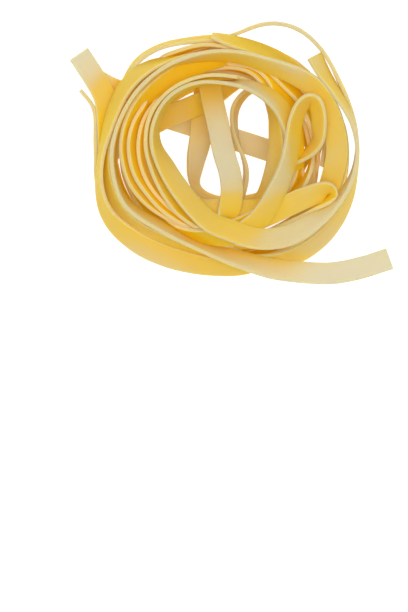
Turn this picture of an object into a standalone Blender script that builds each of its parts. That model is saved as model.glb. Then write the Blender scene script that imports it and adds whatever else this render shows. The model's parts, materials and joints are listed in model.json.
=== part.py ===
"""A nest of dry egg ribbon pasta, lying flat as it was wound, with one long tail.

The nest is one solid out to its uneven outline. A ring with a flat foot carries the wound bands of its
outer and inner wall and the hoops on its top as relief. The ribbons that leave the ring or cross its
hollow are swept at their real width and thickness and joined to it.

Angles are in degrees, counterclockwise from +X round the middle of the nest. Lengths are in millimetres
until the mesh is made.
"""

import math

import bmesh
import bpy
from mathutils import Matrix, Vector

MM = 0.001
NODE = "pasta_nest"

RIBBON_WIDTH = 6.2
RIBBON_THICKNESS = 1.1
RIBBON_STEP = 5.0

# The ring: one value for every 45 degrees, starting at +X.
OUTER_RADIUS = (35.4, 34.4, 31.0, 34.2, 36.0, 35.6, 33.0, 34.8)
HOLLOW_RADIUS_TOP = (21.6, 19.6, 19.0, 21.2, 21.4, 20.6, 21.4, 20.8)
HOLLOW_RADIUS_LOW = (17.4, 18.4, 19.0, 19.0, 17.6, 16.4, 16.6, 16.8)
TOP_HEIGHT = (25.0, 27.2, 29.2, 28.8, 28.6, 28.0, 27.2, 25.4)

RING_SECTORS = 72
OUTER_BANDS = 4
INNER_BANDS = 3
TOP_HOOPS = 4
FOOT_INSET = 2.6
FOOT_CHAMFER = 1.0
BAND_GAP = 0.5
BAND_WEAVE = 0.7
BAND_SLOPE = 0.8
HOOP_INSET = 1.2
HOOP_WEAVE = 0.35
HOOP_RISE = 0.6
HOOP_DEPTH = 1.8
WALL_BULGE = 1.2
SHORTEST_EDGE = 0.005


def polar(stations):
    """Stations of (angle, radius, height, lean) as (x, y, height, lean)."""
    points = []
    for angle, radius, height, lean in stations:
        turn = math.radians(angle)
        points.append((radius * math.cos(turn), radius * math.sin(turn), height, lean))
    return points


# Each route follows a ribbon's upper edge. The lean is the tilt of that edge from upright, in degrees,
# to the right of the direction of travel.
ROUTES = {
    "front_hoop": polar([
        (-20, 18.5, 24.5, -40), (17, 17.4, 28.6, -42), (66, 17.6, 30.8, -25), (115, 19.8, 31.4, 5),
        (160, 21.2, 31.6, 10), (207, 19.6, 31.8, 20), (235, 20.6, 31.9, 35), (262, 24.0, 32.0, 45),
        (287, 29.5, 32.0, 62), (311, 33.8, 31.4, 62), (333, 35.4, 30.0, 40), (355, 36.1, 28.8, 2),
        (376, 34.6, 29.0, -8), (393, 33.0, 29.8, -20), (407, 33.6, 29.6, -36),
    ]),
    "long_tail": polar([
        (374, 33.8, 27.4, 80), (388, 33.1, 29.2, 72), (406, 30.5, 31.2, 52), (426, 27.3, 31.8, 32),
        (456, 26.9, 31.9, 20), (491, 28.0, 31.6, 10), (526, 30.3, 31.1, 6), (549, 32.0, 30.6, 7),
        (568, 32.6, 30.0, 16), (587, 30.1, 29.5, 28), (606, 29.4, 28.7, 32), (624, 30.8, 27.7, 38),
    ]) + [
        (3.5, -33.3, 26.8, 48), (12.5, -36.4, 25.6, 62), (21.0, -37.7, 24.6, 72), (29.1, -38.1, 23.9, 74),
        (38.0, -36.7, 23.3, 74), (47.2, -33.8, 22.8, 74),
    ],
    "right_hairpin": polar([
        (232, 24.2, 25.0, -25), (261, 22.4, 29.6, -45), (283, 21.3, 30.4, -48), (304, 18.6, 30.5, -44),
        (336, 16.3, 30.3, -40), (367, 17.2, 30.3, -38), (386, 20.6, 30.8, -30), (393, 25.1, 31.2, -26),
        (389.5, 29.0, 30.9, -26), (377, 29.6, 30.2, -28), (364, 26.6, 28.4, -30), (352, 22.8, 25.6, -30),
    ]),
    "low_hairpin": polar([
        (268, 23.0, 25.2, -50), (290, 19.6, 26.7, -66), (309, 19.6, 27.4, -74), (329, 22.9, 28.2, -74),
        (340, 29.8, 28.4, -66), (342, 33.8, 27.6, -56),
    ]),
    "outer_loop": polar([
        (283, 31.4, 21.4, -28), (305, 34.4, 24.8, -48), (327, 35.9, 25.6, -38), (348, 37.3, 25.5, -5),
        (370, 37.1, 25.6, 3), (391, 36.9, 25.9, 5), (406, 38.6, 26.0, 6), (420, 38.9, 25.8, 6),
        (432, 36.4, 25.3, 6), (446, 31.6, 23.6, 3), (460, 29.6, 22.4, 0),
    ]),
    "top_hoop": polar([
        (38, 32.0, 24.0, -8), (66, 30.5, 27.2, -24), (90, 31.2, 27.4, -10), (115, 32.9, 27.2, -8),
        (130, 35.2, 26.6, -8), (146, 34.8, 25.2, -8), (166, 33.6, 22.8, -8),
    ]),
    "wide_tail": [
        (-43.4, 24.6, 25.5, 76), (-39.2, 18.5, 24.0, 76), (-35.2, 12.3, 22.2, 72),
        (-32.8, 6.0, 20.8, 55), (-31.5, -1.0, 19.6, 35),
    ],
    "thin_tail": [
        (-40.3, 16.2, 21.4, 0), (-37.9, 13.9, 21.6, 0), (-36.0, 9.5, 21.8, 0), (-34.2, 3.0, 21.6, 0),
    ],
    "short_end": [
        (22.6, 26.2, 28.6, -48), (27.6, 20.8, 28.6, -52), (31.6, 13.4, 28.4, -50), (34.4, 5.4, 27.2, -30),
        (35.2, -3.0, 25.6, -10),
    ],
    "near_strip": [
        (-7.6, 22.0, 16.6, 86), (-6.9, 15.1, 17.6, 86), (-5.0, 6.8, 19.6, 87), (-3.7, -0.2, 21.4, 87),
        (-1.7, -7.2, 23.6, 84), (-0.5, -12.7, 25.4, 70), (-0.8, -17.2, 26.6, 54), (-3.2, -21.0, 27.2, 46),
    ],
    "slim_strip": [
        (-8.2, 21.0, 10.6, 82), (-9.0, 8.5, 10.2, 80), (-9.4, 2.0, 9.8, 72), (-9.7, -4.0, 9.6, 52),
        (-9.7, -9.0, 9.6, 30), (-8.4, -12.2, 9.6, 12), (-4.8, -14.4, 9.6, 2), (0.8, -15.4, 9.6, 0),
        (6.4, -15.0, 9.6, 0), (12.4, -13.4, 9.6, 0), (20.0, -10.0, 9.6, 0),
    ],
    "far_strip": [
        (-24.0, 13.4, 4.2, -84), (-8.8, 8.2, 2.8, -86), (5.0, 3.9, 2.4, -86), (25.0, -2.8, 4.0, -82),
    ],
    "upper_strip": [
        (-21.0, 9.6, 6.8, -82), (-9.4, 14.6, 6.8, -80), (-3.0, 17.6, 6.6, -80), (8.0, 22.0, 6.4, -70),
    ],
    "curved_strip": [
        (13.0, 17.5, 15.5, 0), (5.2, 15.0, 15.2, 8), (2.7, 8.6, 15.0, 12), (4.2, 1.0, 15.0, 2),
        (6.4, -7.0, 15.0, -5), (4.2, -15.2, 15.0, -2), (-1.0, -21.5, 14.6, 0),
    ],
}


def periodic(values, angle):
    """A smooth closed curve through evenly spaced values, read at an angle."""
    place = (angle % 360) / 360 * len(values)
    index = int(place)
    blend = place - index
    before, start, end, after = (values[(index + k) % len(values)] for k in (-1, 0, 1, 2))
    return catmull_rom(before, start, end, after, blend)


def catmull_rom(before, start, end, after, blend):
    """The curve from start to end that also heeds the values on either side of them."""
    linear = (end - before) / 2
    square = before - 2.5 * start + 2 * end - after / 2
    cube = (after - before) / 2 + 1.5 * (start - end)
    return start + blend * (linear + blend * (square + blend * cube))


def wave(angle, lobes, number):
    """A gentle rise and fall round the nest that differs from one band or hoop to the next."""
    return math.sin(math.radians(lobes * angle + 137.5 * number))


def outer_wall(angle):
    """Corners of the stacked bands of the outer wall, from the foot up."""
    radius = periodic(OUTER_RADIUS, angle)
    top = periodic(TOP_HEIGHT, angle) - 2.0
    height = top / OUTER_BANDS
    corners = []
    for band in range(OUTER_BANDS):
        offset = BAND_WEAVE * wave(angle, 2, band)
        slope = BAND_SLOPE * wave(angle, 1, band)
        low = band * height + (slope if band else FOOT_CHAMFER - BAND_GAP)
        high = (band + 1) * height + BAND_SLOPE * wave(angle, 1, band + 1)
        for z in (low + BAND_GAP, high - BAND_GAP / 2):
            bulge = WALL_BULGE * math.sin(math.pi * min(z / top, 1))
            corners.append((radius - WALL_BULGE + bulge + offset, z))
    return corners


def top_hoops(angle):
    """Corners of the hoops on the top and of the grooves between them, from the outside in."""
    outside = periodic(OUTER_RADIUS, angle) - HOOP_INSET
    inside = periodic(HOLLOW_RADIUS_TOP, angle) + HOOP_INSET
    pitch = (outside - inside) / (TOP_HOOPS - 1)
    crest = periodic(TOP_HEIGHT, angle)
    radii = [outside - hoop * pitch + HOOP_WEAVE * wave(angle, 1, hoop) for hoop in range(TOP_HOOPS)]
    corners = []
    for hoop, radius in enumerate(radii):
        height = crest + HOOP_RISE * wave(angle, 2, hoop)
        corners.append((radius + RIBBON_THICKNESS / 2, height))
        corners.append((radius - RIBBON_THICKNESS / 2, height))
        if hoop < TOP_HOOPS - 1:
            corners.append(((radius + radii[hoop + 1]) / 2, crest - HOOP_DEPTH))
    return corners


def inner_wall(angle):
    """Corners of the bands that line the hollow, from the top down."""
    top_radius = periodic(HOLLOW_RADIUS_TOP, angle)
    low_radius = periodic(HOLLOW_RADIUS_LOW, angle)
    top = periodic(TOP_HEIGHT, angle) - 2.0
    height = top / INNER_BANDS
    corners = []
    for band in reversed(range(INNER_BANDS)):
        offset = BAND_WEAVE * (wave(angle, 2, band + 0.5) - 1)
        high = (band + 1) * height - BAND_GAP
        low = band * height + (BAND_GAP if band else FOOT_CHAMFER)
        for z in (high, low):
            radius = low_radius + (top_radius - low_radius) * z / top
            corners.append((radius + offset, z))
    return corners


def foot(angle):
    """The flat foot, from the inside out."""
    inside = periodic(HOLLOW_RADIUS_LOW, angle) + FOOT_INSET
    outside = periodic(OUTER_RADIUS, angle) - FOOT_INSET
    return [(inside, 0.0), (outside, 0.0)]


def make_ring():
    """The wound ring, closed round the hollow."""
    mesh = bmesh.new()
    loops = []
    for sector in range(RING_SECTORS):
        angle = 360 * sector / RING_SECTORS
        turn = Matrix.Rotation(math.radians(angle), 3, "Z")
        profile = foot(angle) + outer_wall(angle) + top_hoops(angle) + inner_wall(angle)
        loops.append([mesh.verts.new(turn @ Vector((radius, 0, z)) * MM) for radius, z in profile])
    for start, end in zip(loops, loops[1:] + loops[:1]):
        for k in range(len(start)):
            after = (k + 1) % len(start)
            mesh.faces.new((start[k], start[after], end[after], end[k]))
    return mesh


def resampled(route):
    """Evenly spaced stations on the smooth curve through a route's stations."""
    knots = [Vector(station) for station in route]
    knots = [2 * knots[0] - knots[1]] + knots + [2 * knots[-1] - knots[-2]]
    fine = []
    for k in range(1, len(knots) - 2):
        for part in range(12):
            fine.append(catmull_rom(*knots[k - 1:k + 3], part / 12))
    fine.append(knots[-2])
    lengths = [0.0]
    for start, end in zip(fine, fine[1:]):
        lengths.append(lengths[-1] + (end.xyz - start.xyz).length)
    pieces = max(2, round(lengths[-1] / RIBBON_STEP))
    stations = []
    k = 0
    for piece in range(pieces + 1):
        wanted = lengths[-1] * piece / pieces
        while k < len(fine) - 2 and lengths[k + 1] < wanted:
            k += 1
        span = lengths[k + 1] - lengths[k]
        stations.append(fine[k].lerp(fine[k + 1], (wanted - lengths[k]) / span))
    return stations


def make_ribbon(route):
    """A ribbon of the real width and thickness that hangs from its route."""
    mesh = bmesh.new()
    stations = resampled(route)
    loops = []
    for k, station in enumerate(stations):
        ahead = stations[min(k + 1, len(stations) - 1)].xyz - stations[max(k - 1, 0)].xyz
        ahead.normalize()
        right = ahead.cross(Vector((0, 0, 1))).normalized()
        lean = math.radians(station[3])
        upward = math.cos(lean) * right.cross(ahead) + math.sin(lean) * right
        across = ahead.cross(upward) * RIBBON_THICKNESS / 2
        edge = station.xyz
        corners = (edge + across, edge - across)
        corners += tuple(corner - upward * RIBBON_WIDTH for corner in reversed(corners))
        loops.append([mesh.verts.new(corner * MM) for corner in corners])
    for start, end in zip(loops, loops[1:]):
        for k in range(4):
            mesh.faces.new((start[k], start[(k + 1) % 4], end[(k + 1) % 4], end[k]))
    mesh.faces.new(loops[0])
    mesh.faces.new(loops[-1])
    return mesh


def add_object(name, mesh):
    """A new object that holds the closed mesh, its faces turned outward."""
    bmesh.ops.recalc_face_normals(mesh, faces=mesh.faces)
    data = bpy.data.meshes.new(name)
    mesh.to_mesh(data)
    mesh.free()
    obj = bpy.data.objects.new(name, data)
    bpy.context.scene.collection.objects.link(obj)
    return obj


def join_ribbons(ring, ribbons):
    """Unites the ribbons with the ring and removes them."""
    group = bpy.data.collections.new("ribbons")
    for ribbon in ribbons:
        group.objects.link(ribbon)
    union = ring.modifiers.new("ribbons", "BOOLEAN")
    union.operation = "UNION"
    union.solver = "EXACT"
    union.operand_type = "COLLECTION"
    union.collection = group
    graph = bpy.context.evaluated_depsgraph_get()
    joined = bpy.data.meshes.new_from_object(ring.evaluated_get(graph))
    ring.modifiers.clear()
    ring.data = joined
    for ribbon in ribbons:
        bpy.data.objects.remove(ribbon)


def shells_of(mesh):
    """The sets of connected vertices of a bmesh."""
    shells = []
    left = set(mesh.verts)
    while left:
        shell = set()
        reached = [left.pop()]
        while reached:
            vert = reached.pop()
            shell.add(vert)
            others = {edge.other_vert(vert) for edge in vert.link_edges} & left
            left -= others
            reached.extend(others)
        shells.append(shell)
    return shells


def clean(obj):
    """Removes slivers, and any pocket that the union closed off inside, so that one shell is left."""
    mesh = bmesh.new()
    mesh.from_mesh(obj.data)
    bmesh.ops.triangulate(mesh, faces=mesh.faces)
    bmesh.ops.dissolve_degenerate(mesh, dist=SHORTEST_EDGE * MM, edges=mesh.edges)
    bmesh.ops.triangulate(mesh, faces=mesh.faces)
    shells = shells_of(mesh)
    largest = max(shells, key=len)
    pockets = [vert for shell in shells if shell is not largest for vert in shell]
    bmesh.ops.delete(mesh, geom=pockets, context="VERTS")
    mesh.to_mesh(obj.data)
    mesh.free()


def centre_over_origin(obj):
    """Moves the mesh so that the origin is the middle of its box, at the bottom."""
    points = [vert.co for vert in obj.data.vertices]
    low = Vector(min(point[axis] for point in points) for axis in range(3))
    high = Vector(max(point[axis] for point in points) for axis in range(3))
    middle = (low + high) / 2
    obj.data.transform(Matrix.Translation((-middle.x, -middle.y, -low.z)))


def pasta_material():
    """Dry egg pasta."""
    material = bpy.data.materials.new("egg pasta")
    material.use_nodes = True
    shader = material.node_tree.nodes["Principled BSDF"]
    shader.inputs["Base Color"].default_value = (0.83, 0.60, 0.19, 1)
    shader.inputs["Roughness"].default_value = 0.5
    shader.inputs["Metallic"].default_value = 0
    return material


def main():
    for obj in list(bpy.data.objects):
        bpy.data.objects.remove(obj)
    nest = add_object(NODE, make_ring())
    ribbons = [add_object(name, make_ribbon(route)) for name, route in ROUTES.items()]
    join_ribbons(nest, ribbons)
    clean(nest)
    centre_over_origin(nest)
    nest.data.materials.clear()
    nest.data.materials.append(pasta_material())


main()
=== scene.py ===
"""Looks for a dry pasta nest: the wound egg ribbons, their dough with painted shade and painted glow, and a
plain studio around them.

Every ribbon is a flat strip with its own route. A route is the line of the strip's upper edge, with the
angle at which the strip leans there. The ribbons that show from above have their stations listed, and the
turns under and inside them come from a loop. All of them are then pushed apart so that they lie on one
another, and Geometry Nodes sweep the strip's outline along each one.
"""

import json
import math
from functools import lru_cache

import bpy
import numpy as np
from bpy.props import (
    FloatProperty,
    FloatVectorProperty,
    IntProperty,
    PointerProperty,
)
from bpy.types import Operator, Panel, PropertyGroup
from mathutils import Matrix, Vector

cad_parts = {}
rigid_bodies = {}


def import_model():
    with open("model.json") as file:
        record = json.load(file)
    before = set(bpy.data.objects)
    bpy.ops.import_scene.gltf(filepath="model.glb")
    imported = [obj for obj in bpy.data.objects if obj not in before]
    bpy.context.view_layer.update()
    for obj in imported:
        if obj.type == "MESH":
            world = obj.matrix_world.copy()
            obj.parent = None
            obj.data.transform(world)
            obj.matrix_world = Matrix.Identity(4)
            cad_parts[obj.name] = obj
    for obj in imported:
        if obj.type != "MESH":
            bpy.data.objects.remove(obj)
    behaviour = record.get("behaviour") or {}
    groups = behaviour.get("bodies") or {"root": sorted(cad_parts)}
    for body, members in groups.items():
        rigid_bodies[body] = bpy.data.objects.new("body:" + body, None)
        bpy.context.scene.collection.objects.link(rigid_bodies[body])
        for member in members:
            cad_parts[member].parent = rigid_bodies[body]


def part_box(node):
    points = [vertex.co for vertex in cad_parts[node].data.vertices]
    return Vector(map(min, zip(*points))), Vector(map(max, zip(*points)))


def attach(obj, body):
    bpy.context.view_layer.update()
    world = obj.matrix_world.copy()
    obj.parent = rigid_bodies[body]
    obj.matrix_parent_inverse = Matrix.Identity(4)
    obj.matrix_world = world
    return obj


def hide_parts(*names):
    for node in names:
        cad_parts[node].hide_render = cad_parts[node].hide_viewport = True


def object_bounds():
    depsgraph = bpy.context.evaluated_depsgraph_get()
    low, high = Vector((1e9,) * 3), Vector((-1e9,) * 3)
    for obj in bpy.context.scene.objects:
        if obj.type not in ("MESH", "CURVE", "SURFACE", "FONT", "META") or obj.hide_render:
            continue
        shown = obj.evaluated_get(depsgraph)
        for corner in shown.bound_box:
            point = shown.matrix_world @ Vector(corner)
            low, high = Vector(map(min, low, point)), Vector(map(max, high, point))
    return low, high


bl_info = {
    "name": "Dry Pasta Nest",
    "version": (1, 0, 0),
    "blender": (4, 5, 0),
    "location": "3D View > Sidebar > Pasta Nest",
    "description": "Winds a nest of dry egg ribbons and sets up a studio for it",
    "category": "Add Mesh",
}

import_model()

NODE = "pasta_nest"
BODY = "root"
CAD_LOW, CAD_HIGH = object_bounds()
NODE_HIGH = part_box(NODE)[1]
MM = 0.001

# The ring's centre, from how far the long tail reaches to the right of it and the top hoop behind it (mm).
TAIL_REACH = 47.22
HOOP_REACH = 35.33
RING_CENTRE = (NODE_HIGH.x / MM - TAIL_REACH, NODE_HIGH.y / MM - HOOP_REACH)

# Stations along a ribbon before it is swept: their spacing in mm, and the samples between two given ones.
STATION_STEP = 1.4
FINE_SAMPLES = 16

# How the ribbons are pushed apart (mm): the gap between them, the length over which a ribbon doesn't meet
# itself, and how far past touching a pair is still followed. BLOCK stations are compared at a time.
CLEARANCE = 0.12
OWN_REACH = 9.0
PAIR_MARGIN = 1.0
BLOCK = 400

# The rounds of pushing: all of them, those in which the width grows, those between two searches for pairs,
# and the last ones, which are smoothed less.
PUSH_ROUNDS = 160
GROW_ROUNDS = 90
PAIR_ROUNDS = 6
LAST_ROUNDS = 12

# The share of the width at the start, the pull back to the given route with how much freedom weakens it,
# and how a push is calmed where several meet and turned into a twist.
START_WIDTH = 0.1
HOME_PULL = 0.012
FREEDOM_FROM_HOME = 0.8
CALM = 0.5
CALM_POWER = 0.6
TWIST_GIVE = 0.8

# How far a ribbon gives way to the others, from the least to the most.
HELD = 0.15
LOOSE = 0.3
SLACK = 0.5
FREE = 1.0

# Painted shade and light: the tone of the dough follows the space that is open before a face, behind the
# ribbon there, and behind it where the face itself is closed in (a painted lift for light coming through), so
# that closed-in faces are painted a deeper gold; the sway of the tone; and where each colour stands.
BEFORE_SHARE = 0.55
BEHIND_SHARE = 0.45
PAINTED_BACKLIGHT_SHARE = 0.38
TONE_SWAY = 0.07
PAINTED_SHADE_STOPS = (0.1, 0.4, 0.75, 1.0)

# The tone at which the painted glow for light coming through begins, and the one at which it is strongest.
PAINTED_GLOW_FROM = 0.85
PAINTED_GLOW_FULL = 0.1

# Where the cut edge begins and ends across a ribbon, how pale it is, and how squarely an end faces along it.
EDGE_FROM = 0.93
EDGE_TO = 0.985
EDGE_SHARE = 0.7
END_FACING = 0.7

# The surface: how fine the clouds of tone and the grain are, how much the roughness sways, and how light
# of each colour spreads in the dough (m).
CLOUD_SCALE = 90.0
GRAIN_SCALE = 1900.0
ROUGHNESS_SWAY = 0.06
SCATTER = (1.0, 0.72, 0.2)
SCATTER_LENGTH = 2.2 * MM

# Only a corner of the strip's outline lies this far out, in half widths and half thicknesses together.
CORNER_REACH = 1.99

# How far off the surface the rays start, and how far apart two seeds lie in the noise (m).
RAY_LIFT = 0.05 * MM
SEED_STEP = 3.7

# The soft boxes, as place and size, and half the side of the floor (m).
KEY_BOX = ((-0.25, 0.35, 0.9), 0.6)
FILL_BOX = ((0.1, -0.1, 1.5), 0.8)
FLOOR_HALF = 3.0


# ---- Routes ----


def on_ring(*stations):
    """Stations of an upper edge given round the ring: angle in degrees, radius, height and lean."""
    return [
        (radius * math.cos(math.radians(angle)), radius * math.sin(math.radians(angle)), height, lean)
        for angle, radius, height, lean in stations
    ]


# Upper edges in mm from the ring's centre: x, y, height, and the lean in degrees, where a positive lean
# carries the upper edge to the right of the way that the ribbon runs.
FRONT_HOOPS = {
    "hollow_rim": (HELD, on_ring(
        (-20, 18.5, 24.5, -40), (0, 17.6, 26.5, -42), (17, 17.0, 29, -42), (40, 17.3, 30.3, -42),
        (66, 17.4, 31, -25), (90, 17.9, 31.2, -5), (115, 19.8, 31.4, 5), (139, 21.2, 31.5, 8),
        (162, 21.2, 31.6, 14), (180, 20.6, 31.7, 26), (195, 19.7, 31.8, 44), (207, 19.5, 31.9, 52),
        (221, 19.6, 31.9, 54), (235, 20.5, 31.9, 54), (255, 23.2, 32, 52), (270, 25.2, 32, 54),
        (287, 29.5, 32, 62), (304, 32.9, 31.6, 66), (319, 34.3, 31, 60), (333, 35.6, 30, 40),
        (342, 36.5, 29.2, 20), (351, 36.9, 28.8, 6), (358, 37.0, 28.7, 1), (364, 36.6, 28.8, -4),
        (370, 36.0, 29, -10), (377, 34.8, 29.2, -18), (387, 33.1, 29.6, -28), (397, 32.6, 30, -36),
        (407, 33.9, 30, -42),
    )),
    "second_hoop": (LOOSE, on_ring(
        (80, 19.9, 30.8, 0), (98, 20.4, 30.9, 0), (113, 21.1, 31, 2), (134, 22.2, 31, 4),
        (156, 22.8, 31, 8), (178, 22.3, 30.9, 14), (198, 21.6, 30.7, 22), (215, 21.8, 30.2, 30),
        (232, 22.8, 29.2, 30), (250, 24.6, 28, 22), (268, 26.6, 26.8, 10), (285, 28.5, 25, 0),
        (300, 30, 23.5, 0),
    )),
    "low_rim": (LOOSE, on_ring(
        (205, 20.5, 24.5, 25), (225, 21.2, 26, 40), (245, 21.5, 27, 55), (265, 21.7, 27.4, 62),
        (285, 22.2, 27.2, 60), (304, 23.2, 26, 48), (322, 24.4, 24.4, 30), (342, 25, 22.6, 12),
        (362, 25.2, 21, 4), (382, 25, 20, 0),
    )),
    "right_wall": (SLACK, [
        (-4, -20.5, 18.5, 8), (3.5, -19.6, 20.5, 20), (9.4, -17.2, 22.2, 30), (13.2, -13, 23.6, 38),
        (15.4, -7, 24.4, 42), (16.6, -1, 24.8, 42), (16.6, 5, 25, 40), (15.4, 11, 25, 30),
        (12.4, 16.2, 24.8, 18), (7, 19.4, 24.4, 8), (0, 20.6, 24.2, 4), (-8, 19.8, 24, 0),
        (-15, 16, 23.4, 0), (-19.6, 9, 22.8, 4),
    ]),
    "right_hairpin": (HELD, on_ring(
        (205, 24.6, 21, -15), (225, 24.4, 23.5, -20), (245, 23.6, 26.7, -35), (261, 22.4, 29.6, -45),
        (274, 21.9, 30.2, -48), (283, 21.3, 30.4, -48), (292, 20.2, 30.5, -46), (304, 18.6, 30.5, -44),
        (319, 17.1, 30.4, -42), (336, 16.3, 30.3, -40), (353, 16.4, 30.2, -40), (367, 17.2, 30.3, -38),
        (382, 19.3, 30.6, -34), (390, 22.3, 31, -30), (393, 25.1, 31.2, -28),
    ) + [
        (24.4, 15.4, 31, -28), (26.6, 14.4, 30.8, -28), (27.8, 12.0, 30.5, -30), (28.2, 8.4, 30, -32),
        (28.1, 4.5, 29.2, -34), (27.4, 1.2, 28.2, -34), (25.6, -1.2, 27, -32), (23.2, -3.0, 25.8, -30),
        (20.4, -4.3, 24.6, -25), (17.5, -5.2, 23.4, -20),
    ]),
    "low_hairpin": (HELD, [
        (0, -20.5, 26, -55), (7, -17.5, 26.8, -68), (12.4, -15, 27.4, -74), (15.9, -13.3, 27.8, -76),
        (19.6, -12, 28.2, -74), (23.4, -10.9, 28.5, -68), (28.1, -10.1, 28.7, -56),
        (30.7, -10.6, 28.8, -46), (32.0, -12.2, 28.8, -38), (31.7, -14.1, 28.7, -32),
        (29.7, -15.6, 28.3, -26), (26.9, -17.1, 27.6, -22), (23, -18.9, 26.4, -18),
        (18, -21, 24.8, -10), (12, -23.5, 23, -5), (5, -25.5, 21.4, 0),
    ]),
}

OUTER_HOOPS = {
    "long_hoop": (HELD, on_ring(
        (325, 33.5, 20.5, 50), (337, 34.2, 23, 72), (348, 34.3, 25, 82), (358, 34.5, 26, 84),
        (369, 34.1, 27, 82), (379, 33.7, 28, 78), (388, 33.1, 29.2, 72), (397, 32.4, 30.3, 62),
        (406, 30.5, 31.2, 52), (414, 28.9, 31.6, 42), (426, 27.3, 31.8, 32), (438, 26.9, 31.9, 26),
        (456, 26.9, 31.9, 20), (474, 27.3, 31.8, 14), (491, 28.0, 31.6, 10), (508, 28.9, 31.4, 8),
        (526, 30.3, 31.1, 6), (540, 31.5, 30.8, 6), (549, 32.0, 30.6, 7), (559, 32.4, 30.3, 10),
        (568, 32.6, 30, 16), (576, 31.8, 29.8, 23), (587, 30.1, 29.5, 28), (599, 29.3, 29.1, 30),
        (616.5, 29.7, 28.2, 33), (624, 30.8, 27.7, 38),
    ) + [
        (3.5, -33.3, 26.8, 48), (12.5, -36.4, 25.6, 62), (21, -37.7, 24.6, 72), (29.1, -38.1, 23.9, 74),
        (33.6, -37.6, 23.6, 74), (40, -36.1, 23.2, 74), (47.2, -33.8, 22.8, 74),
    ]),
    "outer_band": (HELD, on_ring(
        (92, 26.4, 21.5, -4), (105, 27.0, 24.8, -10), (117, 27.9, 28.0, -22), (126, 28.8, 28.9, -31),
        (135, 29.8, 29.2, -38), (143, 30.5, 29.3, -40), (151, 30.9, 29.2, -37), (160, 31.2, 29, -33),
        (170, 31.9, 28.6, -26), (180, 33.4, 27.8, -16), (188, 34.8, 27, -11), (196, 35.9, 26.2, -13),
        (203, 36.4, 25.4, -20), (209, 36.2, 24.8, -31), (215, 35.3, 24.2, -44), (222, 34.0, 23.5, -58),
        (230, 32.8, 22.8, -70), (240, 31.6, 22, -72), (252, 30.8, 21.2, -64), (265, 30.8, 20.2, -52),
        (280, 31.8, 19, -38), (297, 32.6, 17.8, -22), (316, 33.4, 16.8, -8), (340, 33.4, 16, -3),
        (365, 32.8, 15.4, 0), (390, 31.6, 15, 3),
    )),
    "top_hoop": (LOOSE, on_ring(
        (20, 30.4, 19, 0), (33, 29.6, 21.2, -5), (44, 28.8, 23, -12), (57, 28.3, 24.6, -18),
        (66, 28.3, 25.2, -19), (74, 28.7, 25.5, -17), (82, 29.3, 25.7, -14), (90, 29.9, 26, -12),
        (100, 30.5, 26.4, -11), (108, 31.1, 26.8, -11), (115, 32.0, 26.8, -11), (122, 33.0, 26.4, -11),
        (130, 33.8, 25.6, -11), (137, 34.0, 24.8, -11), (144, 33.4, 24, -10), (154, 32.6, 23.3, -10),
        (166, 32.6, 23.6, -14), (178, 32.8, 24.6, -20), (190, 33.0, 25.4, -27), (200, 33.0, 25.7, -30),
        (210, 32.8, 25.4, -28), (221, 31.4, 24.6, -26), (231, 29.9, 23.4, -20), (245, 28.9, 21.6, -10),
        (262, 28.6, 19.8, -4), (280, 29, 18.4, 0),
    )),
    "shoulder": (LOOSE, on_ring(
        (350, 30.6, 15.5, 0), (372, 30.0, 18.8, -5), (390, 29.0, 22.6, -14), (404, 28.0, 25.6, -27),
        (416, 27.4, 27.7, -35), (428, 27.1, 28.9, -36), (440, 27.4, 29.6, -34), (448, 28.4, 29.9, -28),
        (453, 29.6, 30.1, -20), (457, 31.0, 30.3, -10),
    )),
    "under_shoulder": (LOOSE, on_ring(
        (360, 28.2, 17, 0), (380, 27.6, 20, -8), (398, 27.0, 23.4, -20), (412, 26.5, 26, -28),
        (426, 26.3, 27.4, -28), (440, 26.7, 28.2, -22), (450, 27.6, 28.6, -16), (458, 28.5, 28.7, -10),
        (466, 28.9, 28.2, -6), (474, 28.9, 27, -4), (484, 29, 25.2, -2), (500, 29.6, 22.6, 0),
        (520, 30.6, 20.4, 0), (545, 31.4, 19, 0),
    )),
    "thin_loop": (HELD, on_ring(
        (255, 28, 17.5, 0), (270, 29.5, 19.2, -10), (283, 31.2, 21.2, -26), (294, 32.8, 23.2, -38),
        (305, 34.0, 24.4, -44), (316, 34.9, 24.6, -42), (327, 35.7, 24.1, -34), (338, 36.5, 23.1, -20),
        (348, 36.9, 22.3, -8), (359, 37.1, 21.9, -3), (370, 37.1, 22.4, -1), (382, 37.0, 24, 0),
        (391, 37.1, 25.6, -1), (399, 37.8, 26, -3), (406, 38.5, 26, -4), (413, 38.9, 26, -5),
        (420, 38.8, 25.8, -5), (428, 37.5, 25.6, -5), (435, 35.4, 25.4, -4), (440, 33.4, 25, -3),
        (446, 31.6, 24.2, -2), (452, 30.2, 23.2, 0), (462, 29.0, 21.8, 0), (478, 28.4, 20.4, 0),
        (500, 29.2, 19.2, 0),
    )),
}

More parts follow.
